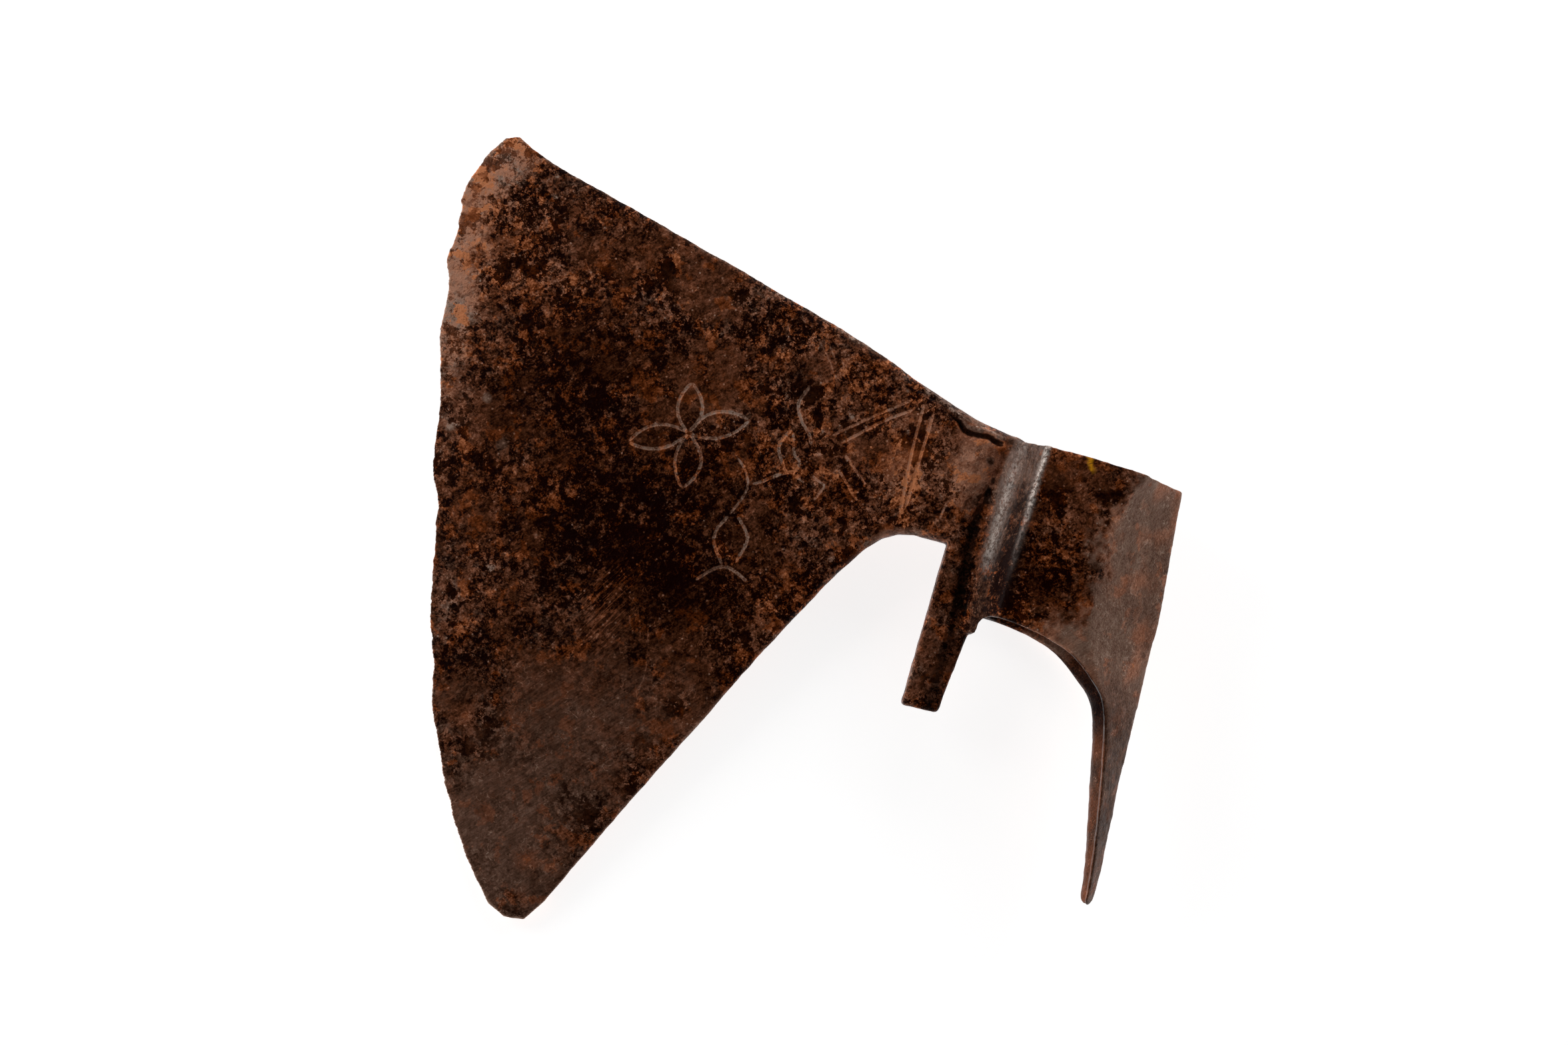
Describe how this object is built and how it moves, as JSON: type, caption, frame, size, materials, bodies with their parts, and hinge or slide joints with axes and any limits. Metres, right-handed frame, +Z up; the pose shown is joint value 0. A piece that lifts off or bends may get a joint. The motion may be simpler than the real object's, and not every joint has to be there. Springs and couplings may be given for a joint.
{
  "type": "broad axe head",
  "caption": "Hand-forged broad axe head with a flared worn blade, a narrow neck, a tall haft socket and two langets, lying on its side.",
  "frame": {"origin": "centre of the head's box on the ground it lies on", "axes": "+Z up, the decorated side facing up; +Y along the haft towards the toe of the blade; +X from the cutting edge to the poll. The head's own plane is tipped 6.3 degrees about the haft, cutting edge down."},
  "size_m": [0.294, 0.2898, 0.0535],
  "materials": {
    "forged_iron": "dark brown waxed wrought iron, mottled black and rust orange, semi-gloss"
  },
  "bodies": {
    "root": {"axe_head": "forged_iron"}
  },
  "joints": []
}
